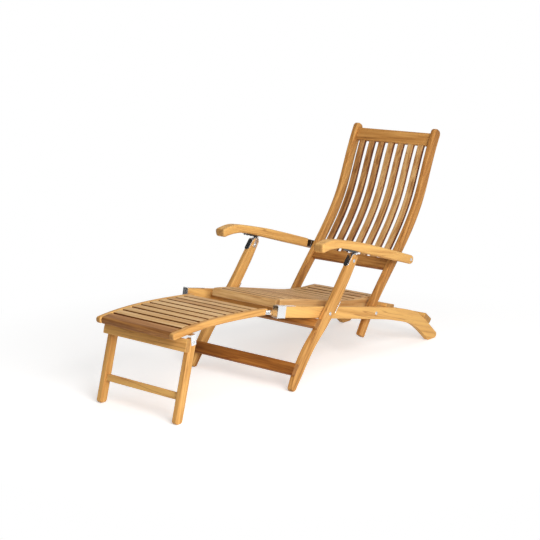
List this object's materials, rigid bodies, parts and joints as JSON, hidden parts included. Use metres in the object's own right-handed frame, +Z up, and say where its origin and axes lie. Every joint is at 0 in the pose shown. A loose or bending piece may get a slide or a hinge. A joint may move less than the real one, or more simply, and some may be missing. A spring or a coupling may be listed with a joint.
{
  "type": "steamer deck chair",
  "caption": "Folding wooden steamer deck chair: slatted reclining back, low seat, curved arms and a slatted footrest on its own folding legs, with bright steel fittings.",
  "frame": {"origin": "centre of the standing chair's footprint, on the floor", "axes": "+Y to the back, +X to the sitter's left, +Z up"},
  "size_m": [0.598, 1.7444, 0.9797],
  "materials": {
    "frame_wood": "oiled honey-brown hardwood with a satin surface and visible grain",
    "slat_wood": "oiled hardwood, a little darker on faces that look up and forward",
    "bracket_steel": "polished stainless plate",
    "bolt_steel": "bright bolt heads and pins"
  },
  "bodies": {
    "base": {"side_rail_left": "frame_wood", "side_rail_right": "frame_wood", "rear_foot_bar": "frame_wood", "rear_deck_board": "frame_wood", "rail_end_bracket_left": "bracket_steel", "rail_end_bracket_right": "bracket_steel", "seat_apron": "slat_wood", "seat_side_left": "slat_wood", "seat_side_right": "slat_wood", "seat_bearer": "frame_wood", "seat_slats": "slat_wood", "leg_pivot_bolt_left": "bolt_steel", "leg_pivot_bolt_right": "bolt_steel"},
    "front_legs": {"front_leg_left": "frame_wood", "front_leg_right": "frame_wood", "lower_crossbar": "frame_wood", "upper_crossbar": "frame_wood", "leg_edge_plate_left": "bracket_steel", "leg_edge_plate_right": "bracket_steel", "leg_top_strap_left": "bracket_steel", "leg_top_strap_right": "bracket_steel", "strap_bolt_left": "bolt_steel", "strap_bolt_right": "bolt_steel"},
    "back_pivots": {"back_pivot_bolt_left": "bolt_steel", "back_pivot_bolt_right": "bolt_steel"},
    "back": {"back_stile_left": "frame_wood", "back_stile_right": "frame_wood", "lumbar_rail": "frame_wood", "top_rail": "frame_wood", "back_slat_1": "slat_wood", "back_slat_2": "slat_wood", "back_slat_3": "slat_wood", "back_slat_4": "slat_wood", "back_slat_5": "slat_wood", "back_slat_6": "slat_wood", "back_slat_7": "slat_wood", "arm_bracket_left": "bracket_steel", "arm_bracket_right": "bracket_steel"},
    "arm_pivots": {"arm_pivot_bolt_left": "bolt_steel", "arm_pivot_bolt_right": "bolt_steel"},
    "arms": {"arm_left": "frame_wood", "arm_right": "frame_wood", "arm_rack_left": "bracket_steel", "arm_rack_right": "bracket_steel"},
    "footrest": {"footrest_rail_left": "frame_wood", "footrest_rail_right": "frame_wood", "footrest_front_slat": "slat_wood", "footrest_slats": "slat_wood", "footrest_leg_plate_left": "bracket_steel", "footrest_leg_plate_right": "bracket_steel", "footrest_hinge_pin_left": "bolt_steel", "footrest_hinge_pin_right": "bolt_steel"},
    "footrest_legs": {"footrest_leg_left": "frame_wood", "footrest_leg_right": "frame_wood", "footrest_stretcher": "frame_wood", "footrest_apron": "frame_wood", "footrest_leg_rivet_left": "bolt_steel", "footrest_leg_rivet_right": "bolt_steel"}
  },
  "joints": [
    {"name": "fold", "type": "hinge", "parent": "back_pivots", "child": "base", "pos_m": [0, 0.34784, 0.20997], "axis": [-1, 0, 0], "range_deg": [0, 105]},
    {"name": "leg_fold", "type": "hinge", "parent": "base", "child": "front_legs", "pos_m": [0, -0.021, 0.283], "axis": [1, 0, 0], "range_deg": [0, 105]},
    {"name": "recline", "type": "hinge", "parent": "back_pivots", "child": "back", "pos_m": [0, 0.34784, 0.20997], "axis": [-1, 0, 0], "range_deg": [0, 16]},
    {"name": "arm_slide_back", "type": "hinge", "parent": "back_pivots", "child": "arm_pivots", "pos_m": [0, 0.12156, 0.02805], "axis": [-1, 0, 0], "range_deg": [0, 8.3]},
    {"name": "arm_fold", "type": "hinge", "parent": "arm_pivots", "child": "arms", "pos_m": [0, 0.55687, 0.42258], "axis": [-1, 0, 0], "range_deg": [0, 102]},
    {"name": "footrest_swing", "type": "hinge", "parent": "base", "child": "footrest", "pos_m": [0, -0.33695, 0.3374], "axis": [1, 0, 0], "range_deg": [-28, 90]},
    {"name": "footrest_leg_fold", "type": "hinge", "parent": "footrest", "child": "footrest_legs", "pos_m": [0, -0.77176, 0.30432], "axis": [1, 0, 0], "range_deg": [0, 105]}
  ],
  "couplings": [
    {"joint": "leg_fold", "follows": "fold", "ratio": 1},
    {"joint": "arm_fold", "follows": "fold", "ratio": 0.97},
    {"joint": "arm_slide_back", "follows": "recline", "ratio": 0.507}
  ]
}
